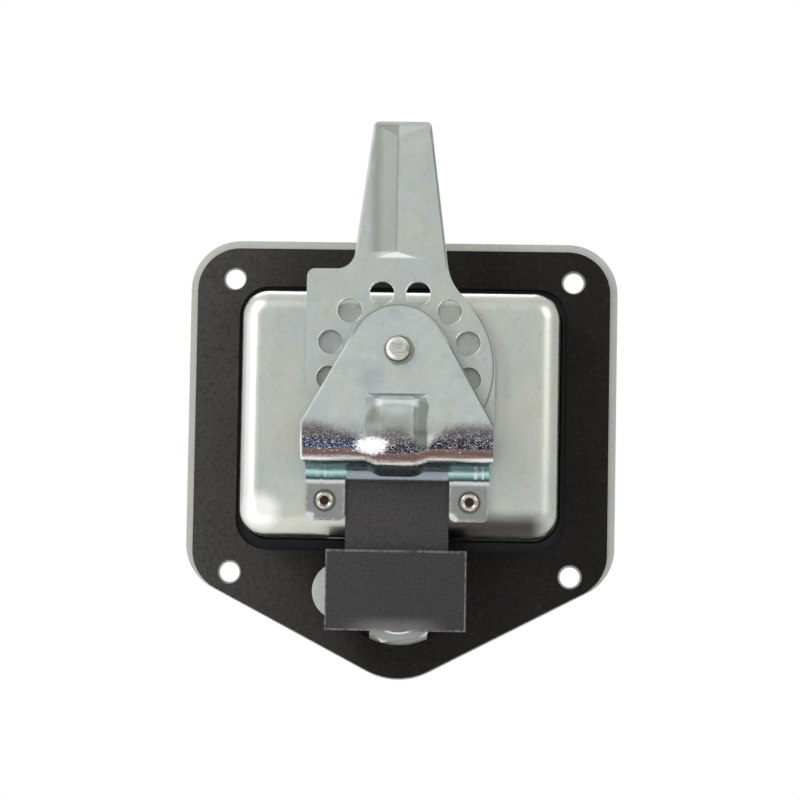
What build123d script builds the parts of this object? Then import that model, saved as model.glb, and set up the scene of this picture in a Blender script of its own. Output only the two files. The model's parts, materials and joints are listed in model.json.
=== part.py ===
from build123d import *
import os
from math import cos, radians, sin, tan

# Folding T-handle latch with a deep drawn dish, for a flush panel cut-out. Millimetres.
# Origin: centre of the four mounting holes, in the rear face of the flange.
# +Y points out of the rear, +Z up, and -X to the right when seen from the rear.
# Depths are Y values. Outlines are drafted as seen from the rear: u to the right, v up.

# Flange and dish, pressed from one sheet
SHEET = 1.5
FLANGE_HALF_WIDTH = 60.0
FLANGE_TOP = 52.1
FLANGE_CORNER_RADIUS = 14.0
VEE_START = -41.75
VEE_APEX = -72.95
VEE_CORNER_RADIUS = 14.0
VEE_TIP_RADIUS = 18.5
HOLE_SPACING_X = 95.25
HOLE_SPACING_Z = 82.55
HOLE_RADIUS = 2.8
DISH_WIDTH = 88.4
DISH_HEIGHT = 68.4
DISH_CENTRE_Z = 2.5
DISH_DEPTH = 21.0
DISH_DRAFT = 1.0
DISH_CORNER_RADIUS = 7.5
DISH_EDGE_RADIUS = 5.5
MOUTH_RADIUS = 2.5
ROOT_RADIUS = 0.6

# Gasket on the flange's rear
GASKET_THICKNESS = 3.0
GASKET_SIDE_INSET = 2.1
GASKET_TOP_INSET = 2.4
GASKET_VEE_INSET = 0.35
GASKET_HOLE_RADIUS = 3.4
GASKET_OPENING_WIDTH = 92.0
GASKET_OPENING_HEIGHT = 74.0
GASKET_OPENING_RADIUS = 8.5
GASKET_OPENING_CENTRE_Z = 2.1
LOBE_RADIUS = 18.6
LOBE_CENTRE_Z = -42.4

# Spindle, turning about Y, with the fork that carries the handle
SPINDLE_Z = 19.0
JOURNAL_RADIUS = 9.5
JOURNAL_FRONT = 18.8
JOURNAL_REAR = 22.25
COLLAR_RADIUS = 12.5
COLLAR_REAR = 19.4
SQUARE = 12.0
SQUARE_REAR = 26.5
NECK_RADIUS = 5.0
NECK_REAR = 30.6
CLIP_GROOVE_RADIUS = 4.0
PIN_RADIUS = 3.25
PIN_END = 37.0
PIN_CHAMFER = 1.0
HINGE_Y = 13.6
HINGE_PIN_RADIUS = 2.5
EYE_RADIUS = 4.8
EYE_HALF_WIDTH = 4.8
EAR_INNER = 5.3
EAR_OUTER = 9.5

# Bush, washer and clip on the spindle
BUSH_OUTER_RADIUS = 11.0
BUSH_FLANGE_RADIUS = 13.0
BUSH_FLANGE_THICKNESS = 1.2
LEVER_WASHER_RADIUS = 12.0
CLIP_RADIUS = 8.5
CLIP_THICKNESS = 1.0
HINGE_WASHER_THICKNESS = 0.4

# Running and assembly clearances
RUNNING = 0.05
SLIP = 0.1

# Latch lever, relative to the spindle
LEVER_FRONT = 23.5
LEVER_THICKNESS = 3.0
LEVER_TOP = 63.4
ARM_TOP_HALF_WIDTH = 7.8
ARM_SPREAD = 0.13
ARM_END_RADIUS = 1.6
SHOULDER_V = 22.6
SHOULDER_RADIUS = 2.2
LEVER_LEFT = 25.6
LEVER_RIGHT = 26.3
LEVER_BOTTOM = -24.5
LEVER_DISC_V = -4.4
SHOULDER_FILLET = 5.0
SIDE_FILLET = 14.0
ROD_HOLE_RADIUS = 3.4
ROD_HOLE_CIRCLE = 19.65
ROD_HOLE_CENTRE_V = -3.0
ROD_HOLE_PITCH = 29.5
ROD_HOLES_PER_SIDE = 4
RIDGE_HEIGHT = 0.9
RIDGE_START_V = 25.6
RIDGE_END_V = 62.2
RIDGE_FACET = 1.8
RIDGE_RUN_OUT = 3.0
RIDGE_HALF_WIDTH = 6.6
RIDGE_CREST_U = -1.2
RIDGE_BASE_RADIUS = 20.0
RIDGE_CREST_RADIUS = 2.0

# Bracket over the lever
BRACKET_THICKNESS = 2.5
BRACKET_REAR = 33.5
BRACKET_HALF_WIDTH = 26.2
BRACKET_TOP_RADIUS = 13.5
BRACKET_TOP_CENTRE_V = -1.1
BRACKET_WIDEST_Z = -1.15
BRACKET_NECK_Z = -11.5
BEND_START_Z = -3.1
BEND_ANGLE = 67.0
BEND_RADIUS = 10.0
FOOT_BEND_RADIUS = 3.0
FOOT_INNER = 14.3
FOOT_OUTER = 25.1
WEB_END_Z = -16.0
FOOT_END_Z = -27.3
FOOT_CORNER_RADIUS = 2.0
NECK_CORNER_RADIUS = 0.9
PIN_HOLE_RADIUS = 3.6
RIB_HALF_WIDTH = 8.2
RIB_TOP_Z = 6.9
RIB_HEIGHT = 1.9
RIB_SIDE_RUN = 3.4
RIB_EDGE_RADIUS = 5.0
RIB_TOP_RUN = 1.8
RIB_END_Y = 24.6

# Rivets through the feet
RIVET_X = 19.8
RIVET_Z = -21.9
RIVET_RADIUS = 2.2
RIVET_END_RADIUS = 2.5
RIVET_END_HEIGHT = 0.9
RIVET_BORE_RADIUS = 1.3
RIVET_BORE_DEPTH = 2.4
RIVET_HEAD_RADIUS = 3.8
RIVET_HEAD_HEIGHT = 0.6

# Handle, folded into the dish: its stem hangs down from the hinge
CROSSBAR_DROP = 38.8
CROSSBAR_WIDTH = 53.0
CROSSBAR_HEIGHT = 12.0
HANDLE_FRONT = 8.6
HANDLE_REAR = 18.4
STEM_TOP_HALF_WIDTH = 4.4
STEM_ROOT_HALF_WIDTH = 7.0
STEM_FILLET = 6.0
HANDLE_EDGE_RADIUS = 2.8

# Lock in the vee
LOCK_Z = -48.5
RIM_RADIUS = 12.0
RIM_FRONT = -6.0
SEAL_THICKNESS = 0.8
BARREL_RADIUS = 9.5
BARREL_REAR = 5.5
PLUG_RADIUS = 6.5
PLUG_HEAD_RADIUS = 8.0
PLUG_HEAD_THICKNESS = 1.2
PLUG_REAR = 5.8
TAIL_SQUARE = 7.0
KEYWAY_WIDTH = 1.8
KEYWAY_HEIGHT = 7.5
KEYWAY_DEPTH = 9.6
WAFER_COUNT = 4
WAFER_PITCH = 2.1
WAFER_FIRST_Y = -4.0
WAFER_THICKNESS = 1.0
WAFER_WIDTH = 5.5
WAFER_HEIGHT = 11.6
NUT_WIDTH = 22.0
NUT_TURN = 9.0
NUT_REAR = 5.0
NUT_CHAMFER_RADIUS = 11.8
LOCK_WASHER_THICKNESS = 1.0
LOCK_WASHER_RADIUS = 10.8
CAM_FRONT = 6.0
CAM_THICKNESS = 2.0
CAM_WIDTH = 16.2
CAM_REACH = 24.0
CAM_REST_ANGLE = 8.0
CAM_WASHER_RADIUS = 4.4
CAM_WASHER_THICKNESS = 0.6
SCREW_HEAD_RADIUS = 4.2
SCREW_HEAD_HEIGHT = 2.6
SCREW_RADIUS = 2.0
SCREW_LENGTH = 4.6
SCREW_SLOT_WIDTH = 1.2
SLOT_LOW_X = -9.0
SLOT_HIGH_X = 20.0
SLOT_FRONT = 5.0
SLOT_REAR = 9.5

# Foam strip on the dish and foam block over the lock
STRIP_HALF_WIDTH = 14.1
STRIP_TOP_Z = -16.2
STRIP_THICKNESS = 1.5
BLOCK_HALF_WIDTH = 19.2
BLOCK_FRONT = 12.0
BLOCK_REAR = 24.5
BLOCK_TOP_Z = -35.2
BLOCK_BOTTOM_Z = -57.2
LEDGE_REAR = 15.0

REAR = Plane(origin=(0, 0, 0), x_dir=(-1, 0, 0), z_dir=(0, 1, 0))
SIDE = Plane.YZ


def plate(outline, front, rear):
    """A rear-view outline made solid between two depths."""
    return extrude(REAR.offset(front) * outline, amount=rear - front)


def turned(profile, z):
    """A (radius, depth) profile turned about the line X = 0, Z = z."""
    face = Plane(origin=(0, 0, z)) * make_face(Polyline(*profile, close=True))
    return revolve(face, axis=Axis((0, 0, z), (0, 1, 0)))


def cylinder(radius, front, rear, z, x=0.0):
    """A round bar along Y."""
    return plate(Pos(-x, z) * Circle(radius), front, rear)


def ring(outer, inner, front, rear, z):
    """A washer or bush along Y."""
    return cylinder(outer, front, rear, z) - cylinder(inner, front, rear, z)


def box(low, high):
    """A box between two corners."""
    size = [b - a for a, b in zip(low, high)]
    return Pos(*low) * Box(*size, align=(Align.MIN, Align.MIN, Align.MIN))


def rounded(points, radii):
    """A closed outline whose corners have the given radii, in order."""
    face = Sketch() + make_face(Polyline(*points, close=True))
    for point, radius in zip(points, radii):
        if radius:
            face = fillet(face.vertices().sort_by_distance(Vector(*point))[0], radius)
    return face


def soften(outline, point, radius):
    """Rounds the corner of an outline that lies nearest to a point."""
    return fillet(outline.vertices().sort_by_distance(Vector(*point))[0], radius)


def edges_at_depth(solid, y):
    """The edges that lie wholly at one depth."""
    return solid.edges().filter_by_position(Axis.Y, y - 0.01, y + 0.01)


def vee_outline(side_inset, top_inset, vee_inset):
    """The flange's outline: square above, a vee below."""
    half = FLANGE_HALF_WIDTH - side_inset
    top = FLANGE_TOP - top_inset
    slope = (VEE_START - VEE_APEX) / FLANGE_HALF_WIDTH
    apex = VEE_APEX + vee_inset * (1 + slope**2) ** 0.5
    start = apex + slope * half
    points = [(-half, top), (half, top), (half, start), (0, apex), (-half, start)]
    corner = FLANGE_CORNER_RADIUS - side_inset
    vee = VEE_CORNER_RADIUS - side_inset
    return rounded(points, [corner, corner, vee, VEE_TIP_RADIUS, vee])


def mounting_holes(radius):
    """The four holes of the mounting pattern."""
    return Sketch() + [
        Pos(side * HOLE_SPACING_X / 2, end * HOLE_SPACING_Z / 2) * Circle(radius)
        for side in (-1, 1)
        for end in (-1, 1)
    ]


def drawn_pan(inset, front, rear, edge_radius):
    """The dish as a tapered block with a rounded rear edge."""
    mouth = Pos(0, DISH_CENTRE_Z) * RectangleRounded(
        DISH_WIDTH - 2 * inset, DISH_HEIGHT - 2 * inset, DISH_CORNER_RADIUS - inset
    )
    pan = extrude(REAR.offset(front) * mouth, amount=rear - front, taper=DISH_DRAFT)
    return fillet(edges_at_depth(pan, rear), edge_radius)


def dish_rim(solid, y, spare):
    """The edges around the dish at one depth."""
    width, height = DISH_WIDTH / 2 + spare, DISH_HEIGHT / 2 + spare
    rim = edges_at_depth(solid, y).filter_by_position(Axis.X, -width, width)
    return rim.filter_by_position(Axis.Z, DISH_CENTRE_Z - height, DISH_CENTRE_Z + height)


def dish_pan():
    outer = plate(vee_outline(0, 0, 0), -SHEET, 0)
    outer += drawn_pan(0, 0, DISH_DEPTH, DISH_EDGE_RADIUS)
    outer = fillet(dish_rim(outer, 0, 0.5), ROOT_RADIUS)
    pan = outer - drawn_pan(SHEET, -SHEET, DISH_DEPTH - SHEET, DISH_EDGE_RADIUS - SHEET)
    pan = fillet(dish_rim(pan, -SHEET, 0), MOUTH_RADIUS)
    pan -= plate(mounting_holes(HOLE_RADIUS), -SHEET, 0)
    pan -= cylinder(BARREL_RADIUS + SLIP, -SHEET, 0, LOCK_Z)
    pan -= cylinder(BUSH_OUTER_RADIUS, 0, DISH_DEPTH, SPINDLE_Z)
    for x in (-RIVET_X, RIVET_X):
        pan -= cylinder(RIVET_RADIUS, 0, DISH_DEPTH, RIVET_Z, x)
    wall_z = DISH_CENTRE_Z - DISH_HEIGHT / 2
    return pan - box(
        (SLOT_LOW_X, SLOT_FRONT, wall_z - 1), (SLOT_HIGH_X, SLOT_REAR, wall_z + 2 * SHEET)
    )


def flange_gasket():
    opening = Pos(0, GASKET_OPENING_CENTRE_Z) * RectangleRounded(
        GASKET_OPENING_WIDTH, GASKET_OPENING_HEIGHT, GASKET_OPENING_RADIUS
    )
    lobe = Pos(0, LOBE_CENTRE_Z) * Circle(LOBE_RADIUS)
    outline = vee_outline(GASKET_SIDE_INSET, GASKET_TOP_INSET, GASKET_VEE_INSET)
    outline -= opening + lobe
    outline -= mounting_holes(GASKET_HOLE_RADIUS)
    return plate(outline, 0, GASKET_THICKNESS)


def lever_outline():
    """The lever's blank: arm, square shoulder at the left, round right side."""
    top, bottom, disc = LEVER_TOP, LEVER_BOTTOM, LEVER_DISC_V
    left, right = LEVER_LEFT, LEVER_RIGHT
    root = ARM_TOP_HALF_WIDTH + ARM_SPREAD * (top - disc)
    outline = Sketch() + make_face(
        Polyline(
            (-ARM_TOP_HALF_WIDTH, top),
            (ARM_TOP_HALF_WIDTH, top),
            (root, disc),
            (-root, disc),
            close=True,
        )
    )
    outline += Pos(-left / 2, (SHOULDER_V + disc) / 2) * Rectangle(left, SHOULDER_V - disc)
    lower_left = Pos(-left / 2, (disc + bottom) / 2) * Rectangle(left, disc - bottom)
    outline += Pos(0, disc) * Circle(left) & lower_left
    upper_right = Pos(right / 2, disc + right / 2) * Rectangle(right, right)
    outline += Pos(0, disc) * Circle(right) & upper_right
    outline += Pos(right / 2, (disc + bottom) / 2) * Rectangle(right, disc - bottom)
    for u in (-ARM_TOP_HALF_WIDTH, ARM_TOP_HALF_WIDTH):
        outline = soften(outline, (u, top), ARM_END_RADIUS)
    outline = soften(outline, (-left, SHOULDER_V), SHOULDER_RADIUS)
    outline = soften(outline, (right, bottom), SHOULDER_RADIUS)
    arm_edge = ARM_TOP_HALF_WIDTH + ARM_SPREAD * (top - SHOULDER_V)
    outline = soften(outline, (-arm_edge, SHOULDER_V), SHOULDER_FILLET)
    meeting = disc + (right**2 - arm_edge**2) ** 0.5
    return soften(outline, (arm_edge, meeting), SIDE_FILLET)


def rod_holes():
    """Holes for rods or cables, evenly spaced on one circle."""
    holes = Sketch()
    for number in range(ROD_HOLES_PER_SIDE):
        angle = radians((number + 0.5) * ROD_HOLE_PITCH)
        u = ROD_HOLE_CIRCLE * sin(angle)
        v = ROD_HOLE_CENTRE_V + ROD_HOLE_CIRCLE * cos(angle)
        holes += [Pos(-u, v) * Circle(ROD_HOLE_RADIUS), Pos(u, v) * Circle(ROD_HOLE_RADIUS)]
    return holes


def arm_ridge(base):
    """The ridge pressed along the arm: a low roof with soft sides, standing on one depth."""
    start, end = SPINDLE_Z + RIDGE_START_V, SPINDLE_Z + RIDGE_END_V
    crest = base + RIDGE_HEIGHT
    half, skirt = RIDGE_HALF_WIDTH, RIDGE_HALF_WIDTH + 2.5
    roof = rounded(
        [
            (-skirt, base - 1),
            (skirt, base - 1),
            (skirt, base),
            (half, base),
            (-RIDGE_CREST_U, crest),
            (-half, base),
            (-skirt, base),
        ],
        [0, 0, 0, RIDGE_BASE_RADIUS, RIDGE_CREST_RADIUS, RIDGE_BASE_RADIUS, 0],
    )
    length = make_face(
        Polyline(
            (base - 1, start - RIDGE_FACET / RIDGE_HEIGHT),
            (crest, start + RIDGE_FACET),
            (crest, end - RIDGE_RUN_OUT),
            (base - 1, end + RIDGE_RUN_OUT / RIDGE_HEIGHT),
            close=True,
        )
    )
    ridge = extrude(Plane.XY.offset(start - 5) * roof, amount=end - start + 10)
    return ridge & extrude(SIDE * length, amount=skirt, both=True)


def latch_lever():
    rear = LEVER_FRONT + LEVER_THICKNESS
    outline = lever_outline() - rod_holes() - Rectangle(SQUARE + SLIP, SQUARE + SLIP)
    outline = Pos(0, SPINDLE_Z) * outline
    blank = plate(outline, LEVER_FRONT, rear)
    ridge = arm_ridge(rear) & plate(outline, rear - 0.5, rear + RIDGE_HEIGHT)
    return blank + ridge - arm_ridge(LEVER_FRONT)


def bend_corner(offset):
    """Corner between plate and web, on a surface at some height over the rear one."""
    rise = tan(radians(BEND_ANGLE / 2))
    return BRACKET_REAR + offset, BEND_START_Z - (BEND_RADIUS + offset) * rise


def web_point(offset, y):
    """Point of the same surface on the sloping web, at one depth."""
    corner_y, corner_z = bend_corner(offset)
    return y, corner_z - (corner_y - y) / tan(radians(BEND_ANGLE))


def bracket_profile():
    """The bracket's side view: plate, bend, sloping web, bend and foot."""
    top = SPINDLE_Z + BRACKET_TOP_CENTRE_V + BRACKET_TOP_RADIUS
    thickness = BRACKET_THICKNESS
    foot = DISH_DEPTH + thickness
    points = [
        (BRACKET_REAR, top),
        bend_corner(0),
        web_point(0, foot),
        (foot, FOOT_END_Z),
        (DISH_DEPTH, FOOT_END_Z),
        web_point(-thickness, DISH_DEPTH),
        bend_corner(-thickness),
        (BRACKET_REAR - thickness, top),
    ]
    outer_bend, inner_bend = BEND_RADIUS, BEND_RADIUS - thickness
    outer_foot, inner_foot = FOOT_BEND_RADIUS + thickness, FOOT_BEND_RADIUS
    return rounded(points, [0, outer_bend, inner_foot, 0, 0, outer_foot, inner_bend, 0])


def bracket_rib(level, base):
    """The stiffening rib over the bend, standing on a level under the rear face."""
    half, crown = RIB_HALF_WIDTH, level - RIB_HEIGHT
    start = (0, BRACKET_REAR, RIB_TOP_Z)
    end = (0, *web_point(0, RIB_END_Y))
    path = FilletPolyline(start, (0, *bend_corner(0)), end, radius=BEND_RADIUS)
    section = rounded(
        [
            (-half, base),
            (half, base),
            (half, level),
            (half - RIB_SIDE_RUN, crown),
            (RIB_SIDE_RUN - half, crown),
            (-half, level),
        ],
        [0, 0, 0, RIB_EDGE_RADIUS, RIB_EDGE_RADIUS, 0],
    )
    face = Plane(origin=start, x_dir=(1, 0, 0), z_dir=(0, 0, -1)) * section
    foot = BRACKET_REAR - level
    slope = make_face(
        Polyline(
            (foot, RIB_TOP_Z),
            (foot + RIB_HEIGHT + 1, RIB_TOP_Z - RIB_TOP_RUN * (1 + 1 / RIB_HEIGHT)),
            (foot + RIB_HEIGHT + 1, RIB_TOP_Z + 1),
            (foot, RIB_TOP_Z + 1),
            close=True,
        )
    )
    return sweep(face, path=path) - extrude(SIDE * slope, amount=half + 1, both=True)


def bracket_outline():
    """Rear view of the bracket: round top, slanted sides and two feet."""
    top = Pos(0, SPINDLE_Z + BRACKET_TOP_CENTRE_V) * Circle(BRACKET_TOP_RADIUS)
    bend = Pos(0, (BRACKET_WIDEST_Z + BRACKET_NECK_Z) / 2) * Rectangle(
        2 * BRACKET_HALF_WIDTH, BRACKET_WIDEST_Z - BRACKET_NECK_Z
    )
    outline = make_hull(top.edges() + bend.edges())
    outline += Pos(0, (BRACKET_NECK_Z + FOOT_END_Z) / 2) * Rectangle(
        2 * FOOT_OUTER, BRACKET_NECK_Z - FOOT_END_Z
    )
    outline -= Pos(0, (WEB_END_Z + FOOT_END_Z) / 2 - 1) * Rectangle(
        2 * FOOT_INNER, WEB_END_Z - FOOT_END_Z + 2
    )
    for u in (-FOOT_OUTER, -FOOT_INNER, FOOT_INNER, FOOT_OUTER):
        outline = soften(outline, (u, FOOT_END_Z), FOOT_CORNER_RADIUS)
    for u in (-BRACKET_HALF_WIDTH, BRACKET_HALF_WIDTH):
        outline = soften(outline, (u, BRACKET_NECK_Z), NECK_CORNER_RADIUS)
    return outline


def lever_bracket():
    bracket = extrude(SIDE * bracket_profile(), amount=BRACKET_HALF_WIDTH, both=True)
    bracket += bracket_rib(0, BRACKET_THICKNESS - 0.5)
    bracket &= plate(bracket_outline(), DISH_DEPTH, BRACKET_REAR + RIB_HEIGHT)
    bracket -= bracket_rib(BRACKET_THICKNESS, BRACKET_THICKNESS + 1)
    bracket -= cylinder(PIN_HOLE_RADIUS, NECK_REAR, BRACKET_REAR, SPINDLE_Z)
    foot = DISH_DEPTH + BRACKET_THICKNESS
    for x in (-RIVET_X, RIVET_X):
        bracket -= cylinder(RIVET_RADIUS, DISH_DEPTH, foot, RIVET_Z, x)
    return bracket


def bracket_rivets():
    """Semi-tubular rivets: flat head in the dish, rolled end on the foot."""
    foot = DISH_DEPTH + BRACKET_THICKNESS
    floor = DISH_DEPTH - SHEET
    end = foot + RIVET_END_HEIGHT
    profile = [
        (0, floor - RIVET_HEAD_HEIGHT),
        (RIVET_HEAD_RADIUS - 0.4, floor - RIVET_HEAD_HEIGHT),
        (RIVET_HEAD_RADIUS, floor),
        (RIVET_RADIUS, floor),
        (RIVET_RADIUS, foot),
        (RIVET_END_RADIUS, foot),
        (RIVET_END_RADIUS, foot + 0.4),
        (RIVET_END_RADIUS - 0.5, end),
        (RIVET_BORE_RADIUS, end - 0.2),
        (RIVET_BORE_RADIUS, end - RIVET_BORE_DEPTH),
        (0, end - RIVET_BORE_DEPTH),
    ]
    rivet = turned(profile, RIVET_Z)
    return Compound(children=[Pos(x, 0, 0) * rivet for x in (-RIVET_X, RIVET_X)])


def spindle():
    """Fork, collar, journal, square, neck with a groove, and the pin in the bracket."""
    z = SPINDLE_Z
    ear = Pos(HINGE_Y, z) * Circle(EYE_RADIUS)
    ear += Pos((HINGE_Y + JOURNAL_FRONT) / 2, z) * Rectangle(
        JOURNAL_FRONT - HINGE_Y, 2 * EYE_RADIUS
    )
    ear -= Pos(HINGE_Y, z) * Circle(HINGE_PIN_RADIUS)
    ears = extrude(SIDE.offset(EAR_INNER) * ear, amount=EAR_OUTER - EAR_INNER)
    ears += extrude(SIDE.offset(-EAR_OUTER) * ear, amount=EAR_OUTER - EAR_INNER)
    ears &= cylinder(JOURNAL_RADIUS + 1, 0, JOURNAL_FRONT, z)
    shaft = cylinder(JOURNAL_RADIUS, JOURNAL_FRONT, JOURNAL_REAR, z)
    shaft += cylinder(COLLAR_RADIUS, JOURNAL_FRONT, COLLAR_REAR, z)
    shaft += plate(Pos(0, z) * RectangleRounded(SQUARE, SQUARE, 0.8), JOURNAL_REAR, SQUARE_REAR)
    groove_rear = SQUARE_REAR + CLIP_THICKNESS + SLIP
    tail = [
        (0, SQUARE_REAR),
        (CLIP_GROOVE_RADIUS, SQUARE_REAR),
        (CLIP_GROOVE_RADIUS, groove_rear),
        (NECK_RADIUS, groove_rear),
        (NECK_RADIUS, NECK_REAR),
        (PIN_RADIUS, NECK_REAR),
        (PIN_RADIUS, PIN_END - PIN_CHAMFER),
        (PIN_RADIUS - PIN_CHAMFER, PIN_END),
        (0, PIN_END),
    ]
    return shaft + ears + turned(tail, z)


def spindle_bush():
    floor = DISH_DEPTH - SHEET
    bush = ring(BUSH_OUTER_RADIUS, JOURNAL_RADIUS + RUNNING, floor, DISH_DEPTH, SPINDLE_Z)
    flange_rear = DISH_DEPTH + BUSH_FLANGE_THICKNESS
    bore = JOURNAL_RADIUS + RUNNING
    return bush + ring(BUSH_FLANGE_RADIUS, bore, DISH_DEPTH, flange_rear, SPINDLE_Z)


def lever_washer():
    inner = SQUARE / 2 * 2**0.5 + SLIP
    front = DISH_DEPTH + BUSH_FLANGE_THICKNESS + RUNNING
    return ring(LEVER_WASHER_RADIUS, inner, front, LEVER_FRONT, SPINDLE_Z)


def spindle_clip():
    """Open retaining ring in the neck's groove, behind the lever."""
    shape = Circle(CLIP_RADIUS) - Circle(CLIP_GROOVE_RADIUS + RUNNING)
    mouth = Pos(0, -CLIP_RADIUS / 2) * Rectangle(CLIP_GROOVE_RADIUS * 1.5, CLIP_RADIUS)
    return plate(Pos(0, SPINDLE_Z) * (shape - mouth), SQUARE_REAR, SQUARE_REAR + CLIP_THICKNESS)


def t_handle():
    """Cast handle: eye, tapering stem and crossbar."""
    bar_z = SPINDLE_Z - CROSSBAR_DROP
    stem = make_face(
        Polyline(
            (-STEM_TOP_HALF_WIDTH, SPINDLE_Z),
            (STEM_TOP_HALF_WIDTH, SPINDLE_Z),
            (STEM_ROOT_HALF_WIDTH, bar_z),
            (-STEM_ROOT_HALF_WIDTH, bar_z),
            close=True,
        )
    )
    bar = Pos(0, bar_z) * SlotOverall(CROSSBAR_WIDTH, CROSSBAR_HEIGHT)
    outline = Sketch() + stem + bar
    for side in (-1, 1):
        corner = (side * STEM_ROOT_HALF_WIDTH, bar_z + CROSSBAR_HEIGHT / 2)
        outline = soften(outline, corner, STEM_FILLET)
    casting = plate(outline, HANDLE_FRONT, HANDLE_REAR)
    rims = edges_at_depth(casting, HANDLE_FRONT) + edges_at_depth(casting, HANDLE_REAR)
    rims = [edge for edge in rims if edge.center().Z < SPINDLE_Z - 1]
    casting = fillet(rims, HANDLE_EDGE_RADIUS)
    eye = Pos(HINGE_Y, SPINDLE_Z) * Circle(EYE_RADIUS)
    casting += extrude(SIDE * eye, amount=EYE_HALF_WIDTH, both=True)
    bore = Pos(HINGE_Y, SPINDLE_Z) * Circle(HINGE_PIN_RADIUS + RUNNING)
    return casting - extrude(SIDE * bore, amount=EYE_HALF_WIDTH, both=True)


def hinge_pin():
    pin = Pos(HINGE_Y, SPINDLE_Z) * Circle(HINGE_PIN_RADIUS)
    bar = extrude(SIDE * pin, amount=EAR_OUTER - SLIP, both=True)
    return chamfer(bar.edges(), 0.3)


def hinge_washers():
    """Two thin washers between the fork's ears and the handle's eye."""
    shape = Pos(HINGE_Y, SPINDLE_Z) * (
        Circle(EYE_RADIUS - 0.2) - Circle(HINGE_PIN_RADIUS + RUNNING)
    )
    washer = extrude(SIDE * shape, amount=HINGE_WASHER_THICKNESS)
    start = EAR_INNER - HINGE_WASHER_THICKNESS
    return Compound(children=[Pos(start, 0, 0) * washer, Pos(-EAR_INNER, 0, 0) * washer])


def lock_barrel():
    """Threaded barrel with its front rim, bored for the plug."""
    rim_rear = -SHEET - SEAL_THICKNESS
    head_rear = RIM_FRONT + PLUG_HEAD_THICKNESS + SLIP
    profile = [
        (PLUG_HEAD_RADIUS + RUNNING, RIM_FRONT),
        (RIM_RADIUS - 1.2, RIM_FRONT),
        (RIM_RADIUS, RIM_FRONT + 1.2),
        (RIM_RADIUS, rim_rear),
        (BARREL_RADIUS, rim_rear),
        (BARREL_RADIUS, BARREL_REAR - 0.5),
        (BARREL_RADIUS - 0.5, BARREL_REAR),
        (PLUG_RADIUS + RUNNING, BARREL_REAR),
        (PLUG_RADIUS + RUNNING, head_rear),
        (PLUG_HEAD_RADIUS + RUNNING, head_rear),
    ]
    return turned(profile, LOCK_Z)


def wafer_depths():
    """The front face of each wafer."""
    return [WAFER_FIRST_Y + number * WAFER_PITCH for number in range(WAFER_COUNT)]


def wafer_box(y, spare):
    """One wafer, or the slot that it slides in when there is something to spare."""
    half_width, half_height = WAFER_WIDTH / 2 + spare, WAFER_HEIGHT / 2 + spare
    return box(
        (-half_width, y - spare, LOCK_Z - half_height),
        (half_width, y + WAFER_THICKNESS + spare, LOCK_Z + half_height),
    )


def lock_plug():
    """The part that the key turns: head with keyway, wafer slots, square tail."""
    plug = cylinder(
        PLUG_HEAD_RADIUS, RIM_FRONT + SLIP, RIM_FRONT + PLUG_HEAD_THICKNESS, LOCK_Z
    )
    plug += cylinder(PLUG_RADIUS, RIM_FRONT + PLUG_HEAD_THICKNESS, PLUG_REAR, LOCK_Z)
    tail = Pos(0, LOCK_Z) * Rot(0, 0, -CAM_REST_ANGLE) * Rectangle(TAIL_SQUARE, TAIL_SQUARE)
    tail_rear = CAM_FRONT + CAM_THICKNESS - SLIP
    plug += plate(tail, PLUG_REAR, tail_rear)
    for y in wafer_depths():
        plug -= wafer_box(y, RUNNING)
    plug -= box(
        (-KEYWAY_WIDTH / 2, RIM_FRONT - 1, LOCK_Z - KEYWAY_HEIGHT / 2),
        (KEYWAY_WIDTH / 2, RIM_FRONT + KEYWAY_DEPTH, LOCK_Z + KEYWAY_HEIGHT / 2),
    )
    screw_front = CAM_FRONT + CAM_THICKNESS + CAM_WASHER_THICKNESS - SCREW_LENGTH
    return plug - cylinder(SCREW_RADIUS, screw_front, tail_rear, LOCK_Z)


def lock_wafers():
    """Flat tumblers across the plug, held in line as by the key."""
    keyway = box(
        (-KEYWAY_WIDTH / 2, 0, LOCK_Z - KEYWAY_HEIGHT / 2),
        (KEYWAY_WIDTH / 2, PLUG_REAR, LOCK_Z + KEYWAY_HEIGHT / 2),
    )
    return Compound(children=[wafer_box(y, 0) - keyway for y in wafer_depths()])


def lock_seal():
    rear = -SHEET
    return ring(RIM_RADIUS - 0.3, BARREL_RADIUS + SLIP, rear - SEAL_THICKNESS, rear, LOCK_Z)


def lock_washer():
    inner = BARREL_RADIUS + SLIP
    return ring(LOCK_WASHER_RADIUS, inner, 0, LOCK_WASHER_THICKNESS, LOCK_Z)


def lock_nut():
    """Hexagon nut with its corners turned off at the rear."""
    front = LOCK_WASHER_THICKNESS
    turn = Pos(0, LOCK_Z) * Rot(0, 0, NUT_TURN)
    hexagon = turn * RegularPolygon(NUT_WIDTH / 2, 6, major_radius=False)
    nut = plate(hexagon, front, NUT_REAR)
    corner = NUT_WIDTH / 3**0.5
    turned_off = [
        (0, front),
        (corner + 0.5, front),
        (corner + 0.5, NUT_REAR - 0.9),
        (NUT_CHAMFER_RADIUS, NUT_REAR),
        (0, NUT_REAR),
    ]
    nut &= turned(turned_off, LOCK_Z)
    return nut - cylinder(BARREL_RADIUS + RUNNING, front, NUT_REAR, LOCK_Z)


def lock_cam():
    """Flat cam: a long round-ended bar with a square hole, pointing to +X."""
    reach = CAM_REACH - CAM_WIDTH / 2
    bar = Pos(-reach / 2, 0) * SlotCenterToCenter(reach, CAM_WIDTH)
    bar -= Rectangle(TAIL_SQUARE + SLIP, TAIL_SQUARE + SLIP)
    shape = Pos(0, LOCK_Z) * Rot(0, 0, -CAM_REST_ANGLE) * bar
    return plate(shape, CAM_FRONT, CAM_FRONT + CAM_THICKNESS)


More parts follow.
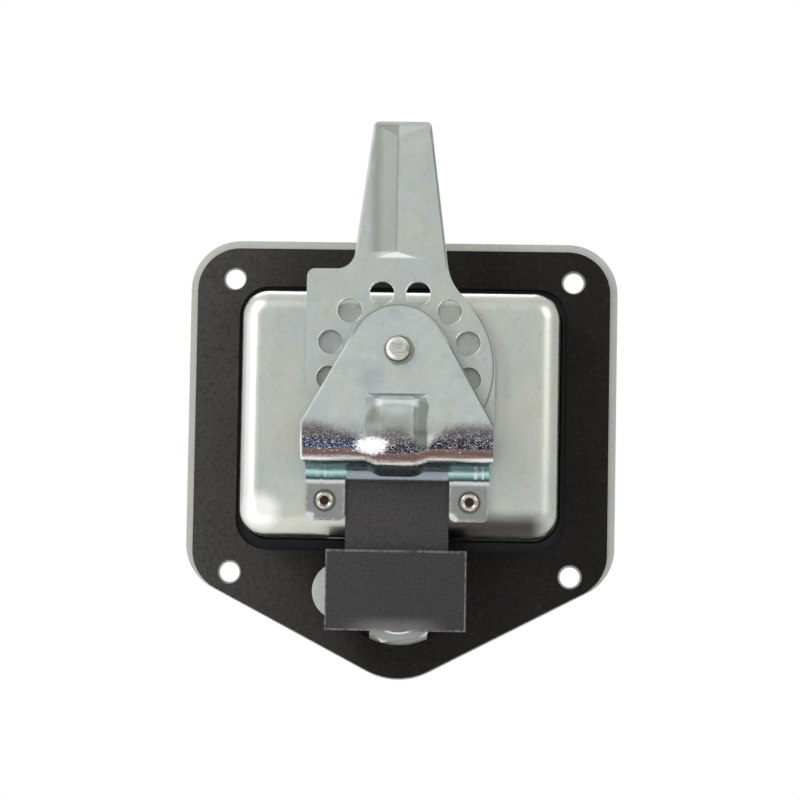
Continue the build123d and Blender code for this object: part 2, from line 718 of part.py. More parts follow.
def cam_washer():
    front = CAM_FRONT + CAM_THICKNESS
    inner = SCREW_RADIUS + SLIP
    return ring(CAM_WASHER_RADIUS, inner, front, front + CAM_WASHER_THICKNESS, LOCK_Z)


def cam_screw():
    under_head = CAM_FRONT + CAM_THICKNESS + CAM_WASHER_THICKNESS
    top = under_head + SCREW_HEAD_HEIGHT
    profile = [
        (0, under_head - SCREW_LENGTH),
        (SCREW_RADIUS, under_head - SCREW_LENGTH),
        (SCREW_RADIUS, under_head),
        (SCREW_HEAD_RADIUS, under_head),
        (SCREW_HEAD_RADIUS, top - 0.8),
        (SCREW_HEAD_RADIUS - 1.0, top),
        (0, top),
    ]
    screw = turned(profile, LOCK_Z)
    half = SCREW_SLOT_WIDTH / 2
    arm = SCREW_HEAD_RADIUS - 1.6
    screw -= box((-arm, top - 1.0, LOCK_Z - half), (arm, top, LOCK_Z + half))
    return screw - box((-half, top - 1.0, LOCK_Z - arm), (half, top, LOCK_Z + arm))


def cover_strip():
    """Foam strip stuck on the dish between the feet, down to the block."""
    return box(
        (-STRIP_HALF_WIDTH, DISH_DEPTH, BLOCK_TOP_Z),
        (STRIP_HALF_WIDTH, DISH_DEPTH + STRIP_THICKNESS, STRIP_TOP_Z),
    )


def lock_cover():
    """Foam block over the lock's rear, with a ledge against the dish's lower wall."""
    half = BLOCK_HALF_WIDTH
    block = box((-half, BLOCK_FRONT, BLOCK_BOTTOM_Z), (half, BLOCK_REAR, BLOCK_TOP_Z))
    half = STRIP_HALF_WIDTH
    wall_z = DISH_CENTRE_Z - DISH_HEIGHT / 2
    ledge = box((-half, BLOCK_FRONT, BLOCK_TOP_Z), (half, LEDGE_REAR, wall_z + SHEET))
    return block + (ledge - drawn_pan(0, 0, DISH_DEPTH, DISH_EDGE_RADIUS))


NODES = [
    dish_pan,
    flange_gasket,
    lever_bracket,
    bracket_rivets,
    spindle_bush,
    cover_strip,
    lock_cover,
    lock_barrel,
    lock_seal,
    lock_washer,
    lock_nut,
    spindle,
    lever_washer,
    latch_lever,
    spindle_clip,
    hinge_pin,
    hinge_washers,
    t_handle,
    lock_plug,
    lock_wafers,
    lock_cam,
    cam_washer,
    cam_screw,
]

os.makedirs("parts", exist_ok=True)
for make in NODES:
    export_step(make(), f"parts/{make.__name__}.step")
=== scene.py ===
"""Looks of a recessed folding T-handle latch, seen from behind: finishes, small made pieces, studio."""

from __future__ import annotations

import json
import logging
import math
from collections.abc import Sequence
from dataclasses import dataclass
from enum import Enum

import bpy
from mathutils import Matrix, Vector

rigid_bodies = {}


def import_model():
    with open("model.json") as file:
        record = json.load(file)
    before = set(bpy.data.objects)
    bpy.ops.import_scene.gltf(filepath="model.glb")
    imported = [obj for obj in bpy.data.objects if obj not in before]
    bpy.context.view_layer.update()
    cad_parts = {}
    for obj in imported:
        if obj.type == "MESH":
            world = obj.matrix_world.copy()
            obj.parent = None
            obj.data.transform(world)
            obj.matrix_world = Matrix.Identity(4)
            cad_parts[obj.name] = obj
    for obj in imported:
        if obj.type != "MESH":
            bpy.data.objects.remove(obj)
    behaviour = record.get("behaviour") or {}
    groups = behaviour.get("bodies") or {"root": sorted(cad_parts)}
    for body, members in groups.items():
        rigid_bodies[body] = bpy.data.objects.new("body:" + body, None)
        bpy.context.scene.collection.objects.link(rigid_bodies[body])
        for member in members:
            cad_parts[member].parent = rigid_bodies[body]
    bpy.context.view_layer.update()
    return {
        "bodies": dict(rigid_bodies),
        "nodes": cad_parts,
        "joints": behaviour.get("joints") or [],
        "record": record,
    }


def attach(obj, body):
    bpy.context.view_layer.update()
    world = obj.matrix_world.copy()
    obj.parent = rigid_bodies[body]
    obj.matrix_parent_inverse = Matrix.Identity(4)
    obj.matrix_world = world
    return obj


log = logging.getLogger("latch")

Socket = bpy.types.NodeSocket
Tree = bpy.types.NodeTree
Colour = tuple[float, float, float, float]
Span = tuple[float, float]
Stretch = tuple[float, float, float]

MM = 0.001
IMAGE_SIZE = 800
SENSOR_MM = 36.0
BUMP_STRENGTH = 0.7
NOISE_MEAN = 0.5
# Sockets of a colour mix node.
MIX_SHARE, MIX_UNDER, MIX_OVER, MIX_RESULT = 0, 6, 7, 2
RING_SIDES, WIRE_SIDES = 48, 10


class Body(Enum):
    """Rigid bodies of the latch that a made piece rides on."""

    HOUSING = "housing"
    SPINDLE = "spindle_body"


class Mark(Enum):
    """What plating, pressing and wear left on the metal, and the painted highlights, reflections and shade
    laid on it: sRGB colour, and how much of it shows.
    """

    MOTTLE = "#949893", 0.2
    SPECK = "#8F8370", 0.2

    # Pan: painted highlights and a painted brown reflection on the dish's round edge, and painted shade on
    # the bare strip beside the gasket.
    EDGE_HIGHLIGHT = "#F4F6F6", 0.1
    CORNER_HIGHLIGHT = "#FDFDFD", 1.0
    BROWN_REFLECTION = "#3B3432", 0.95
    SIDE_HIGHLIGHT = "#F4F6F6", 0.8
    DULL_CLOUD = "#8F8A82", 0.1
    # Painted shade: the bare strip of flange in the narrow gap beside the gasket.
    GAP_SHADE = "#2C2D2F", 1.0

    # Lever: painted shade on one slope and the edges towards -X, painted highlights on the ridge's lower
    # end, the arm's +X edge and the sheared edges, and a stain.
    SHADED_SLOPE = "#90958F", 0.85
    CREST = "#7E827C", 0.35
    LIT_HIP = "#EEF3F5", 0.8
    SHADED_ARM_EDGE = "#6A6C66", 0.6
    LIT_ARM_EDGE = "#E4E8E6", 0.6
    DISC_EDGE_SHADE = "#70736D", 0.7
    LEVER_STAIN = "#9C9788", 0.3
    SHEARED_EDGE_HIGHLIGHT = "#EEF1F0", 1.0

    # Bracket: stretched band, painted with reflections, glints and highlights.
    BLUE_REFLECTION = "#36406A", 0.55
    FLECK_GLINT = "#D3D6DE", 0.6
    DASH = "#EEF0F2", 0.6
    SPOT = "#FDFDFE", 1.0
    BAND_END_HIGHLIGHT = "#E9ECEB", 1.0

    # Bracket: web, bends and feet.
    GLINT = "#F2F8F8", 0.5
    FOOT_RIM = "#D9D7C4", 0.6
    FOOT_CORNER = "#F3F4F3", 1.0
    RIVET_RING = "#4C4A47", 0.7
    WEB_SCRATCH = "#CDD3D5", 0.5

    # Bracket: flat face with the rib's upper half; painted shade on the rib's slopes, the -X slanted edge
    # and round the pin, painted highlights on the lens and the +X slanted edge.
    RIB_RIGHT_SHADE = "#6B706A", 0.9
    RIB_LEFT_SHADE = "#8C9390", 0.7
    RIB_MIDDLE = "#9A9A90", 0.45
    SMUDGE = "#77746B", 0.7
    BROW = "#8F979A", 0.5
    LENS_HIGHLIGHT = "#F3F6F7", 0.6
    BLUE_SHADE_LINE = "#5C7585", 0.55
    BLUE_CLOUD = "#98A4AB", 0.4
    SLANT_WALL_SHADE = "#6F726E", 1.0
    SLANT_EDGE_HIGHLIGHT = "#EDF0EE", 0.6
    SLANT_EDGE_SHADE = "#5D605C", 0.75
    CROWN = "#8F8873", 0.7
    PIN_SHADE = "#6E654F", 0.6

    # Turned steel.
    DARK_SCRATCH = "#8F9188", 0.35
    LIGHT_SCRATCH = "#F6F7F5", 0.5
    LIT_CHAMFER = "#FBFBF8", 0.8
    SHADED_CHAMFER = "#776F58", 0.55
    BROWN_SIDE = "#776F58", 0.75

    def __init__(self, colour: str, share: float) -> None:
        """Names the two values."""
        self.colour = colour
        self.share = share


def linear(code: str) -> Colour:
    """Turns an sRGB hex colour into linear light.

    Args:
        code: Colour such as "#BEC2B8".

    Returns:
        Linear red, green and blue, and an alpha of 1.
    """
    channels = [int(code[i : i + 2], 16) / 255 for i in (1, 3, 5)]
    light = [c / 12.92 if c <= 0.04045 else ((c + 0.055) / 1.055) ** 2.4 for c in channels]
    return light[0], light[1], light[2], 1.0


def grey(value: float) -> Colour:
    """A neutral linear colour."""
    return value, value, value, 1.0


def add(
    tree: Tree,
    kind: str,
    inputs: dict[str | int, object] | None = None,
    stops: Sequence[tuple[float, Colour]] = (),
    **settings: object,
) -> bpy.types.Node:
    """Adds a node with its settings, values and links.

    Args:
        tree: Node tree that gets the node.
        kind: Blender's name of the node type.
        inputs: Value or output socket for each input, by name or index.
        stops: (position, colour) pairs of a colour ramp, in rising order.
        **settings: Properties of the node itself.

    Returns:
        The new node.
    """
    made = tree.nodes.new(kind)
    for name, value in settings.items():
        setattr(made, name, value)
    for key, value in (inputs or {}).items():
        if isinstance(value, Socket):
            tree.links.new(value, made.inputs[key])
        else:
            made.inputs[key].default_value = value
    for number, (position, colour) in enumerate(stops):
        elements = made.color_ramp.elements
        element = elements[number] if number < 2 else elements.new(position)
        element.position = position
        element.color = colour
    return made


@dataclass(frozen=True)
class Field:
    """A number that varies over a surface, with the usual arithmetic.

    Args:
        tree: Node tree that works it out.
        socket: Output that carries it.
    """

    tree: Tree
    socket: Socket

    def combined(self, operation: str, other: Field | float = 0.0) -> Field:
        """Combines this field with another one or a number.

        Args:
            operation: Name of the operation.
            other: Second operand.

        Returns:
            The result.
        """
        second = other.socket if isinstance(other, Field) else other
        made = add(self.tree, "ShaderNodeMath", {0: self.socket, 1: second}, operation=operation)
        return Field(self.tree, made.outputs[0])

    def __add__(self, other: Field | float) -> Field:
        """Sum."""
        return self.combined("ADD", other)

    def __sub__(self, other: Field | float) -> Field:
        """Difference."""
        return self.combined("SUBTRACT", other)

    def __mul__(self, other: Field | float) -> Field:
        """Product."""
        return self.combined("MULTIPLY", other)

    def __neg__(self) -> Field:
        """The opposite."""
        return self.combined("MULTIPLY", -1.0)

    def __abs__(self) -> Field:
        """Distance from zero."""
        return self.combined("ABSOLUTE")

    def most(self, other: Field | float = 0.0) -> Field:
        """The larger of this field and another one, or zero."""
        return self.combined("MAXIMUM", other)

    def least(self, other: Field) -> Field:
        """The smaller of this field and another one."""
        return self.combined("MINIMUM", other)

    def diagonal(self, other: Field) -> Field:
        """Length of the slanted side over two square ones."""
        return (self * self + other * other).combined("SQRT")

    def within(self, low: float, high: float, soft: float = 0.2) -> Field:
        """Share that is 1 between two values and falls to 0 outside them.

        Args:
            low: Lower value.
            high: Higher value.
            soft: Width of the fall at each.

        Returns:
            The share.
        """
        return self.step(low - soft, low) * self.step(high + soft, high)

    def step(self, start: float, end: float) -> Field:
        """Rises softly from 0 at one value of the field to 1 at another.

        Args:
            start: Value where the result is 0.
            end: Value where it is 1, above or below start.

        Returns:
            The rise, held at 0 and 1 outside.
        """
        low, high = sorted((start, end))
        inputs = {
            "Value": self.socket,
            "From Min": low,
            "From Max": high,
            "To Min": float(start > end),
            "To Max": float(start < end),
        }
        made = add(self.tree, "ShaderNodeMapRange", inputs, interpolation_type="SMOOTHSTEP")
        return Field(self.tree, made.outputs["Result"])

    def ramp(self, stops: Sequence[tuple[float, Colour]]) -> Socket:
        """Maps the field through linear colours.

        Args:
            stops: (value, colour) pairs in rising order.

        Returns:
            The colour.
        """
        low, share = stops[0][0], 1 / (stops[-1][0] - stops[0][0])
        points = [((value - low) * share, colour) for value, colour in stops]
        place = (self - low) * share
        return add(self.tree, "ShaderNodeValToRGB", {"Fac": place.socket}, stops=points).outputs["Color"]

    def colours(self, stops: Sequence[tuple[float, str]]) -> Socket:
        """Maps the field through (value, sRGB hex colour) pairs."""
        return self.ramp([(value, linear(code)) for value, code in stops])

    def levels(self, stops: Sequence[Span]) -> Field:
        """Maps the field through numbers, with straight lines between them.

        Args:
            stops: (value, number) pairs in rising order of value.

        Returns:
            The number at each place.
        """
        floor = min(number for _, number in stops)
        span = max(number for _, number in stops) - floor
        share = self.ramp([(value, grey((number - floor) / span)) for value, number in stops])
        return Field(self.tree, share) * span + floor


class Surface:
    """Fields over a surface, on Object coordinates in millimetres."""

    def __init__(self, tree: Tree) -> None:
        """Reads the coordinates.

        Args:
            tree: Node tree of the material.
        """
        self.tree = tree
        place = add(tree, "ShaderNodeTexCoord").outputs["Object"]
        scaled = add(tree, "ShaderNodeVectorMath", {0: place, "Scale": 1 / MM}, operation="SCALE")
        self.place = scaled.outputs["Vector"]
        axes = add(tree, "ShaderNodeSeparateXYZ", {"Vector": self.place}).outputs
        self.x, self.y, self.z = (Field(tree, axes[name]) for name in "XYZ")

    def reach(self, x_mm: float, z_mm: float) -> Field:
        """Distance from an axis along Y."""
        return (self.x - x_mm).diagonal(self.z - z_mm)

    def beyond(self, half_x: float, half_z: float, centre_z: float, radius: float) -> Field:
        """Distance outside a rectangle with round corners, seen along Y.

        Args:
            half_x: Half of its width.
            half_z: Half of its height.
            centre_z: Height of its centre.
            radius: Radius of its corners.

        Returns:
            The distance, negative inside.
        """
        across = (abs(self.x) - (half_x - radius)).most()
        up = (abs(self.z - centre_z) - (half_z - radius)).most()
        return across.diagonal(up) - radius

    def noise(self, size_mm: float, detail: float = 2.0, stretch: Stretch | None = None) -> Field:
        """Noise whose features have a real size.

        Args:
            size_mm: Rough size of one feature.
            detail: Octaves of finer noise.
            stretch: Factors along X, Y and Z, or None.

        Returns:
            The noise, about 0.3 to 0.7.
        """
        place = self.place
        if stretch is not None:
            place = add(self.tree, "ShaderNodeMapping", {"Vector": place, "Scale": stretch}).outputs[0]
        inputs = {"Vector": place, "Scale": 1 / size_mm, "Detail": detail}
        return Field(self.tree, add(self.tree, "ShaderNodeTexNoise", inputs).outputs["Fac"])

    def wander(self, size_mm: float, detail: float = 2.0, stretch: Stretch | None = None) -> Field:
        """The same noise, around zero."""
        return self.noise(size_mm, detail, stretch) - NOISE_MEAN

    def mix(self, share: Field, under: Socket | str, over: Socket | str) -> Socket:
        """Lays one colour over another.

        Args:
            share: How much of the upper colour shows.
            under: Lower colour, a hex code or a socket.
            over: Upper colour, a hex code or a socket.

        Returns:
            The mixed colour.
        """
        below, above = (linear(colour) if isinstance(colour, str) else colour for colour in (under, over))
        inputs = {MIX_SHARE: share.socket, MIX_UNDER: below, MIX_OVER: above}
        return add(self.tree, "ShaderNodeMix", inputs, data_type="RGBA").outputs[MIX_RESULT]

    def lay(self, colour: Socket | str, *marks: tuple[Field, Mark]) -> Socket:
        """Lays marks over a colour.

        Args:
            colour: Colour underneath, a hex code or a socket.
            *marks: Where each mark lies, and the mark, the lowest first.

        Returns:
            The marked colour.
        """
        for place, mark in marks:
            colour = self.mix(place * mark.share, colour, mark.colour)
        return colour


@dataclass(frozen=True)
class Finish:
    """A surface finish, named for the real material and how it was made.

    The eye gets a slight drift of tone, uneven gloss and a fine grain.

    Args:
        name: Name of the material.
        colour: Main sRGB colour.
        metallic: 1 for bare or plated metal.
        roughness: Mean roughness.
        uneven: How much the roughness varies. 0 keeps it the same all over.
        specular: Specular level.
        cloud_mm: Size of the clouds of tone.
        grain_mm: Size of the grain.
        relief_mm: Depth of the grain. 0 keeps the surface smooth.
        aged: Colour that it drifts to in places.
        aged_from: Noise where the drift begins and is full.
        aged_share: How much of that colour shows there.
    """

    name: str
    colour: str
    metallic: float = 0.0
    roughness: float = 0.5
    uneven: float = 0.14
    specular: float = 0.5
    cloud_mm: float = 5.0
    grain_mm: float = 0.8
    relief_mm: float = 0.004
    aged: str = "#4A4844"
    aged_from: Span = (0.4, 0.75)
    aged_share: float = 0.3

    def tint(self, surface: Surface) -> Socket:
        """Works out the colour.

        Args:
            surface: Its fields.

        Returns:
            The colour.
        """
        drift = surface.noise(self.cloud_mm, 3.0).step(*self.aged_from)
        return surface.mix(drift * self.aged_share, self.colour, self.aged)

    def gloss(self, surface: Surface) -> Field:
        """Uneven roughness."""
        return surface.wander(self.cloud_mm / 3) * self.uneven + self.roughness

    def height(self, surface: Surface) -> Field:
        """Height of the fine relief, of which 1 is relief_mm."""
        return surface.noise(self.grain_mm, 3.0)

    def shader(self) -> tuple[bpy.types.Material, bpy.types.Node]:
        """Starts the material with its even values.

        Returns:
            The material and its shader node.
        """
        material = bpy.data.materials.new(self.name)
        material.use_nodes = True
        shader = material.node_tree.nodes["Principled BSDF"]
        shader.inputs["Base Color"].default_value = linear(self.colour)
        shader.inputs["Metallic"].default_value = self.metallic
        shader.inputs["Roughness"].default_value = self.roughness
        shader.inputs["Specular IOR Level"].default_value = self.specular
        return material, shader

    def build(self) -> bpy.types.Material:
        """Makes the material with all that varies over the surface.

        Returns:
            The material.
        """
        material, shader = self.shader()
        tree = material.node_tree
        surface = Surface(tree)
        tree.links.new(self.tint(surface), shader.inputs["Base Color"])
        if self.uneven:
            tree.links.new(self.gloss(surface).socket, shader.inputs["Roughness"])
        if self.relief_mm:
            inputs = {
                "Height": self.height(surface).socket,
                "Distance": self.relief_mm * MM,
                "Strength": BUMP_STRENGTH,
            }
            bump = add(tree, "ShaderNodeBump", inputs)
            tree.links.new(bump.outputs["Normal"], shader.inputs["Normal"])
        return material


@dataclass(frozen=True)
class ZincPlate(Finish):
    """Steel electroplated with zinc and passivated.

    The eye gets a soft pale metal with faint warm and blue clouds, fine mottling and a
    few specks.

    Args:
        warm: Colour of the yellowish clouds.
        cool: Colour of the bluish clouds.
        mottle_mm: Size of the mottling.
        mottle_from: Noise where it begins and is full.
    """

    metallic: float = 1.0
    roughness: float = 0.4
    uneven: float = 0.12
    cloud_mm: float = 14.0
    grain_mm: float = 0.5
    relief_mm: float = 0.006
    warm: str = "#C6C6BA"
    cool: str = "#B9C2C3"
    mottle_mm: float = 1.2
    mottle_from: Span = (0.5, 0.75)

    def tint(self, surface: Surface) -> Socket:
        """Lays clouds of passivate colour, mottling and specks over the base.

        Args:
            surface: Its fields.

        Returns:
            The colour.
        """
        clouds = [(0.2, self.cool), (0.5, self.colour), (0.8, self.warm)]
        return surface.lay(
            surface.noise(self.cloud_mm, 3.0).colours(clouds),
            (surface.noise(self.mottle_mm, 4.0).step(*self.mottle_from), Mark.MOTTLE),
            (surface.noise(1.3, 1.0).step(0.71, 0.75), Mark.SPECK),
        )


@dataclass(frozen=True)
class DeepDrawnZinc(ZincPlate):
    """Zinc plate on the pressed sheet.

    The die burnished the dish's round edge and walls, which mirror the black gasket. The
    edge carries painted highlights at one side and a painted brown reflection at the other,
    and the narrow strip of flange between wall and gasket is painted near black as shade.

    Args:
        wall_roughness: Roughness of the burnished walls.
        half_mm: Half width and half height of the dish at its root.
        centre_mm: Height of its centre.
        corner_mm: Radius of its corners.
        edge_mm: Outer radius of the dish's round edge.
        floor_mm: Y of the rear face of its floor.
    """

    wall_roughness: float = 0.22
    half_mm: Span = (44.2, 34.2)
    centre_mm: float = 2.5
    corner_mm: float = 7.5
    edge_mm: float = 5.5
    floor_mm: float = 21.0

    def tint(self, surface: Surface) -> Socket:
        """Lays painted highlights, a painted brown reflection and painted shade in the gap over the
        plating.

        Args:
            surface: Its fields.

        Returns:
            The colour.
        """
        x, y, z = surface.x, surface.y, surface.z
        out = surface.beyond(*self.half_mm, self.centre_mm, self.corner_mm)
        run, rise = (out + self.edge_mm).most(), (y - (self.floor_mm - self.edge_mm)).most()
        outside = run.diagonal(rise).step(self.edge_mm - 0.9, self.edge_mm - 0.6)
        rear = y.step(17.0, 18.0) * outside
        wander = surface.wander(9.0, 1.0) * 2.0
        foot, along = z + wander * 0.6, x + wander
        # Painted brown reflection on the lower edge towards -X; painted highlights on the lower edge, the
        # lower corner and the side towards +X.
        brown = foot.step(-23.0, -28.0) * along.step(-7.0, -14.0) * x.step(-43.5, -36.0)
        white = foot.step(-21.8, -25.5) * along.step(2.0, 10.0) * x.step(43.0, 40.0)
        patch = (surface.reach(37.5, -24.5) + wander).step(7.0, 2.5)
        side = out.within(-4.2, -2.2, 1.0) * z.within(-22.0, 28.0, 4.0) * x.step(20.0, 30.0)
        dull = surface.noise(9.0, 3.0).step(*self.mottle_from)
        return surface.lay(
            super().tint(surface),
            (white * rear, Mark.EDGE_HIGHLIGHT),
            (patch * rear, Mark.CORNER_HIGHLIGHT),
            (brown * rear, Mark.BROWN_REFLECTION),
            (side * rear, Mark.SIDE_HIGHLIGHT),
            (dull * rear, Mark.DULL_CLOUD),
            (self.strip(surface, out), Mark.GAP_SHADE),
        )

    def strip(self, surface: Surface, out: Field) -> Field:
        """Finds the narrow strip of flange that the gasket leaves bare.

        Args:
            surface: Its fields.
            out: Distance outside the dish's root.

        Returns:
            Share of the strip.
        """
        x, y, z = surface.x, surface.y, surface.z
        beside = out.step(-1.0, -0.9) * out.step(5.0, 4.8)
        lobe = surface.reach(0.0, -42.4).step(19.0, 18.8) * z.step(-31.0, -32.0)
        # Painted shade in the gap between the dish's wall and the gasket.
        return beside.most(lobe * abs(x).step(8.0, 8.2)) * y.step(-0.5, -0.4) * y.step(1.4, 0.4)

    def gloss(self, surface: Surface) -> Field:
        """Smooth walls between the matt flange and the matt floor."""
        wall = surface.y.step(0.2, 1.0) * surface.y.step(19.6, 16.0)
        return super().gloss(surface) - wall * (self.roughness - self.wall_roughness)


@dataclass(frozen=True)
class WornZinc(ZincPlate):
    """Zinc plate on the blanked and pressed lever.

    The ridge's slope towards +X carries painted shade and its lower end a painted highlight.
    The sheared edges and the arm's edge towards +X carry painted highlights, and the arm's
    and the disc's edges towards -X carry painted shade.
    edges are bright, and one side of the arm is rubbed dark.

    Args:
        crest_mm: X of the ridge's crest.
        ridge_mm: Lowest and highest Z of the slopes.
        face_mm: Y of the lever's rear face.
        arm_mm: Half width of the arm at arm_top_mm, and its spread per millimetre down.
        arm_top_mm: Z of the arm's end.
    """

    crest_mm: float = 1.2
    ridge_mm: Span = (46.4, 81.2)
    face_mm: float = 26.5
    arm_mm: Span = (7.8, 0.13)
    arm_top_mm: float = 82.4

    def tint(self, surface: Surface) -> Socket:
        """Lays painted shade on one slope and one side, painted highlights on the lower end and the edges,
        and the stain, over the plating.

        Args:
            surface: Its fields.

        Returns:
            The colour.
        """
        x, y, z = surface.x, surface.y, surface.z
        grain = surface.wander(0.5, 2.0, (1.0, 1.0, 0.12)) * 1.2
        rear = y.step(self.face_mm - 0.1, self.face_mm)
        low, high = self.ridge_mm
        ridge = z.within(low + 0.3, high, 0.8) * rear
        # Painted shade on the ridge's slope towards +X.
        left = x.step(self.crest_mm - 0.1, self.crest_mm + 0.2) * (x + grain).step(9.5, 6.5)
        beside = abs(x - self.crest_mm)
        hip = (z + beside * 0.27).step(low + 0.1, low - 0.3)
        raised = y.step(self.face_mm + 0.02, self.face_mm + 0.2)
        width, spread = self.arm_mm
        edge = -x - (z * -spread + (self.arm_top_mm * spread + width))
        # Painted shade on the arm's edge towards -X, and a painted highlight on its +X edge.
        edge_shading = edge.within(-0.55, -0.2) * z.within(44.0, 79.0, 3.0) * rear
        pale = (edge + x * 2.0).within(-0.5, -0.15) * z.within(48.0, 80.0, 3.0) * rear
        # Painted shade on the disc's edge towards -X.
        disc = surface.reach(0.0, 14.6).within(25.65, 26.0, 0.15) * x.step(-18.0, -22.0) * rear
        stain = surface.noise(3.0, 4.0).step(0.6, 0.7) * x.step(-12.0, -22.0)
        # Painted highlight on the sheared edges.
        sheared = y.within(23.7, 26.3, 0.15) * z.step(44.0, 43.0)
        return surface.lay(
            super().tint(surface),
            (left * ridge, Mark.SHADED_SLOPE),
            (beside.step(0.5, 0.1) * ridge, Mark.CREST),
            (raised * hip, Mark.LIT_HIP),
            (edge_shading * (grain + 1.0), Mark.SHADED_ARM_EDGE),
            (pale, Mark.LIT_ARM_EDGE),
            (disc, Mark.DISC_EDGE_SHADE),
            (stain, Mark.LEVER_STAIN),
            (sheared, Mark.SHEARED_EDGE_HIGHLIGHT),
        )


@dataclass(frozen=True)
class StretchedZinc(ZincPlate):
    """Zinc plate on the bracket, stretched and burnished over its bends.

    The eye gets a dark band of painted reflection with painted glints, turning brown below, a
    painted highlight line, a blue-grey web in painted shade and teal painted reflections on the
    bends above the feet, with one painted highlight beside the rib.

    Args:
        band_edge: (X, Z) points of the band's upper edge.
        reflection_stops: (Z, colour) pairs of the band's painted reflections, upwards.
        foot_tone_and_reflection_stops: The same for the feet's tone and the painted reflections and
            highlight lines of the bends above them.
        web: Colour of the web, in painted shade.
        bend_mm: Y and Z of the bend's centre.
        rib_mm: Height of the rib, and how much lower the bands lie over it.
        rib_z: Lowest and highest Z of its marked slopes.
        slope_x: Their nearest and farthest X.
        spot_mm: X and Z of the painted highlight spot.
        spot_size: Its half width and half height.
        slant: Factors of X and Z, and reach, of the slanted sides.
    """

    band_edge: Sequence[Span] = (
        (-27.0, -2.2), (-17.4, -1.6), (-13.5, -2.9), (-10.5, -5.2), (-8.5, -7.4), (-6.1, -7.4),
        (-4.1, -4.9), (-1.6, -2.4), (2.2, -3.0), (8.1, -5.2), (12.0, -4.4), (17.0, -2.6),
        (22.4, -1.2), (27.0, -1.8),
    )
    reflection_stops: Sequence[tuple[float, str]] = (
        (-12.2, "#788186"), (-11.4, "#3E464A"), (-11.0, "#E9ECEB"), (-10.5, "#DADBD9"),
        (-10.0, "#8A7A76"), (-9.3, "#6E5652"), (-8.3, "#75605D"), (-7.7, "#1F1D24"),
        (-6.2, "#2A2830"), (-4.6, "#544E52"), (-2.6, "#7C7675"), (0.6, "#A3A3A0"),
    )
    foot_tone_and_reflection_stops: Sequence[tuple[float, str]] = (
        (-28.0, "#9A9F9D"), (-17.6, "#A0A5A3"), (-17.0, "#E6E9E9"), (-16.5, "#F4F6F6"),
        (-16.0, "#39494C"), (-15.3, "#5B7A7D"), (-14.2, "#B4D3D2"), (-13.2, "#93B3B4"),
        (-12.2, "#5F7D80"), (-11.6, "#3C4C50"),
    )
    web: str = "#8A949B"
    bend_mm: Span = (23.5, -3.1)
    rib_mm: Span = (1.9, 1.3)
    rib_z: Span = (-8.0, 5.6)
    slope_x: Span = (4.9, 8.0)
    spot_mm: Span = (6.7, -7.3)
    spot_size: Span = (3.9, 2.1)
    slant: tuple[float, float, float] = (0.8717, 0.49, 22.275)

    def tint(self, surface: Surface) -> Socket:
        """Joins face, band, web and feet, and leaves the bend's inside plain.

        Args:
            surface: Its fields.

        Returns:
            The colour.
        """
        x, y, z = surface.x, surface.y, surface.z
        grain = surface.wander(0.45, 3.0)
        height = z + abs(x).step(9.5, 4.5) * self.rib_mm[1]
        above = z - x.levels(self.band_edge) + surface.wander(4.5) * 1.4 + grain * 3.6
        band = self.band(surface, height, above, grain)
        colour = surface.mix(above.step(1.8, -1.5), self.face(surface), band)
        colour = surface.mix(height.step(-11.4, -11.9), colour, self.below(surface))
        # Painted highlight on the band's end towards +X.
        end = x.step(25.5, 26.0) * z.within(-11.5, -0.5, 0.5)
        colour = surface.lay(colour, (end, Mark.BAND_END_HIGHLIGHT))
        across, down = (y - self.bend_mm[0]).most(), (-z + self.bend_mm[1]).most()
        rib = abs(x).step(8.2, 4.8) * z.step(7.0, 5.4) * self.rib_mm[0]
        outside = (across.diagonal(down) - rib).step(8.6, 8.9)
        return surface.mix(outside, super().tint(surface), colour)

    def band(self, surface: Surface, height: Field, above: Field, grain: Field) -> Socket:
        """Colours the stretched band with its painted reflections, painted glints and painted highlight
        spot.

        Args:
            surface: Its fields.
            height: Z, as if the rib weren't there.
            above: Height above the band's upper edge.
            grain: Fine noise around zero.

        Returns:
            The colour.
        """
        x, z = surface.x, surface.z
        # Painted reflections down the band, with painted glints on its grain and a painted highlight spot.
        lines = surface.wander(0.5, 2.0, (0.06, 1.0, 1.0)) * height.step(-6.5, -8.0) * 1.2
        deep = height.step(-8.6, -8.0) * above.step(1.0, -1.6)
        flecks = surface.noise(0.28, 1.0, (0.7, 1.0, 1.0)).step(0.54, 0.68)
        dashes = surface.noise(0.42, 1.0, (0.45, 1.0, 1.0)).step(0.64, 0.72)
        across = (x - self.spot_mm[0]) * (1 / self.spot_size[0])
        up = (z - self.spot_mm[1]) * (1 / self.spot_size[1])
        spot = (across * across + up * up + grain * 3.2).step(1.7, 0.6)
        return surface.lay(
            (height + grain * 0.7 + lines).colours(self.reflection_stops),
            (x.step(6.0, 13.0) * height.within(-7.7, -6.0, 0.5), Mark.BLUE_REFLECTION),
            (flecks * deep, Mark.FLECK_GLINT),
            (dashes * height.within(-8.5, -4.5, 1.0), Mark.DASH),
            (spot, Mark.SPOT),
        )

